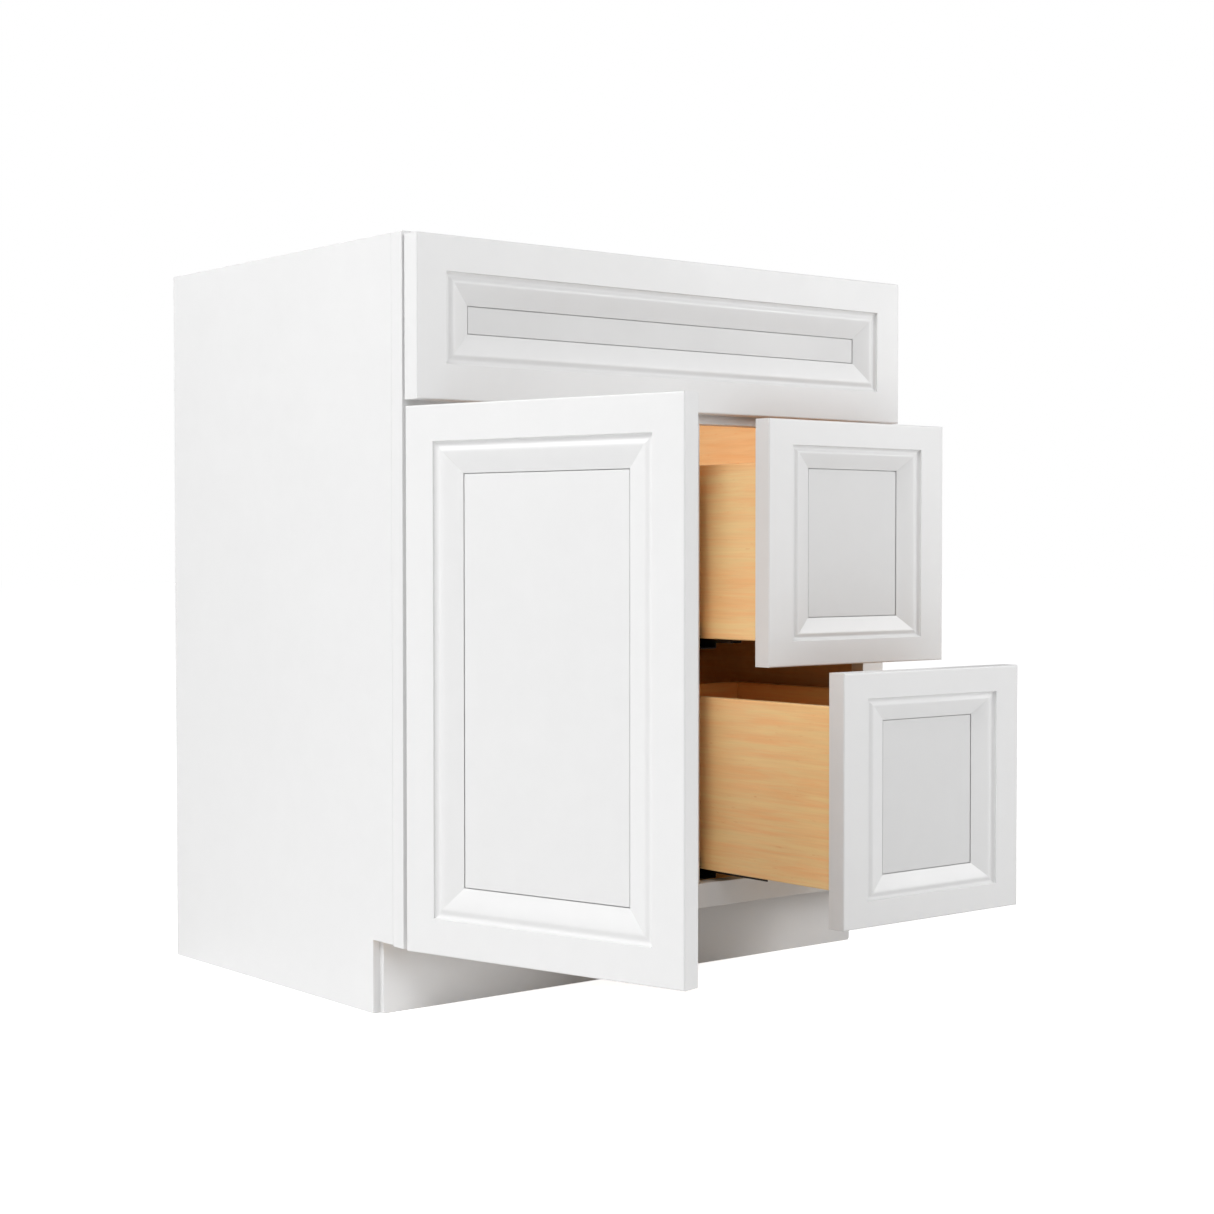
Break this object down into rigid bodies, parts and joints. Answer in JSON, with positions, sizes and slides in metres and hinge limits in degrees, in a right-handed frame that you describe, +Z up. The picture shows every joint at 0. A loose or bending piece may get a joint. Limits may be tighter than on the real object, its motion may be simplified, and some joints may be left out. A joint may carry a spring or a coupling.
{
  "type": "bathroom vanity base cabinet",
  "caption": "White panelled bathroom vanity base cabinet with a face frame, hinged door, false front and full-extension drawers; open top for a sink.",
  "frame": {"origin": "on the floor, at the middle of the cabinet's rear face, which stands against the wall", "axes": "+Z up, +Y into the wall, so the door and drawers face -Y; +X is to the right of a person facing the cabinet"},
  "size_m": [0.7657, 0.9007, 0.876],
  "materials": {
    "white_paint": "satin white paint on hardwood",
    "maple_veneer": "clear-coated maple veneer on plywood",
    "maple_box": "clear-coated solid maple",
    "nickel_hinge": "nickel-plated pressed steel",
    "black_slide": "black-coated roll-formed steel",
    "zinc_screw": "zinc-plated steel",
    "bracket_plastic": "moulded light grey plastic",
    "clear_bumper": "soft clear silicone"
  },
  "bodies": {
    "cabinet": {"left_side_panel": "white_paint", "right_side_panel": "white_paint", "toe_kick_board": "white_paint", "frame_left_stile": "white_paint", "frame_right_stile": "white_paint", "frame_centre_stile": "white_paint", "frame_top_rail": "white_paint", "frame_mid_rail": "white_paint", "frame_bottom_rail": "white_paint", "false_front_left_stile": "white_paint", "false_front_right_stile": "white_paint", "false_front_top_rail": "white_paint", "false_front_bottom_rail": "white_paint", "false_front_panel": "white_paint", "false_front_bumpers": "clear_bumper", "bottom_panel": "maple_veneer", "back_panel": "maple_veneer", "partition_panel": "maple_veneer", "hanging_rail": "maple_veneer", "corner_braces": "maple_veneer", "slide_packers": "maple_veneer", "false_front_cleats": "maple_veneer", "slide_rear_brackets": "bracket_plastic", "upper_hinge_arm": "nickel_hinge", "lower_hinge_arm": "nickel_hinge", "upper_slide_rails": "black_slide", "lower_slide_rails": "black_slide", "cabinet_screws": "zinc_screw"},
    "door": {"door_hinge_stile": "white_paint", "door_free_stile": "white_paint", "door_top_rail": "white_paint", "door_bottom_rail": "white_paint", "door_panel": "white_paint", "door_screws": "zinc_screw", "door_bumpers": "clear_bumper", "upper_hinge_cup": "nickel_hinge", "lower_hinge_cup": "nickel_hinge", "hinge_pins": "zinc_screw"},
    "upper_drawer": {"upper_front_stiles": "white_paint", "upper_front_rails": "white_paint", "upper_front_panel": "white_paint", "upper_box_left_side": "maple_box", "upper_box_right_side": "maple_box", "upper_box_front": "maple_box", "upper_box_back": "maple_box", "upper_box_bottom": "maple_box", "upper_drawer_runners": "black_slide", "upper_drawer_screws": "zinc_screw"},
    "lower_drawer": {"lower_front_stiles": "white_paint", "lower_front_rails": "white_paint", "lower_front_panel": "white_paint", "lower_box_left_side": "maple_box", "lower_box_right_side": "maple_box", "lower_box_front": "maple_box", "lower_box_back": "maple_box", "lower_box_bottom": "maple_box", "lower_drawer_runners": "black_slide", "lower_drawer_screws": "zinc_screw"},
    "upper_slide_member": {"upper_slide_middles": "black_slide"},
    "lower_slide_member": {"lower_slide_middles": "black_slide"}
  },
  "joints": [
    {"name": "door_hinge", "type": "hinge", "parent": "cabinet", "child": "door", "pos_m": [-0.37225, -0.5435, 0], "axis": [0, 0, -1], "range_deg": [-75.9, 24.1]},
    {"name": "upper_drawer_slide", "type": "slide", "parent": "cabinet", "child": "upper_drawer", "axis": [0, -1, 0], "range_m": [-0.078, 0.342]},
    {"name": "lower_drawer_slide", "type": "slide", "parent": "cabinet", "child": "lower_drawer", "axis": [0, -1, 0], "range_m": [-0.204, 0.216]},
    {"name": "upper_member_slide", "type": "slide", "parent": "cabinet", "child": "upper_slide_member", "axis": [0, -1, 0], "range_m": [-0.039, 0.171]},
    {"name": "lower_member_slide", "type": "slide", "parent": "cabinet", "child": "lower_slide_member", "axis": [0, -1, 0], "range_m": [-0.102, 0.108]}
  ],
  "couplings": [
    {"joint": "upper_member_slide", "follows": "upper_drawer_slide", "ratio": 0.5},
    {"joint": "lower_member_slide", "follows": "lower_drawer_slide", "ratio": 0.5}
  ]
}
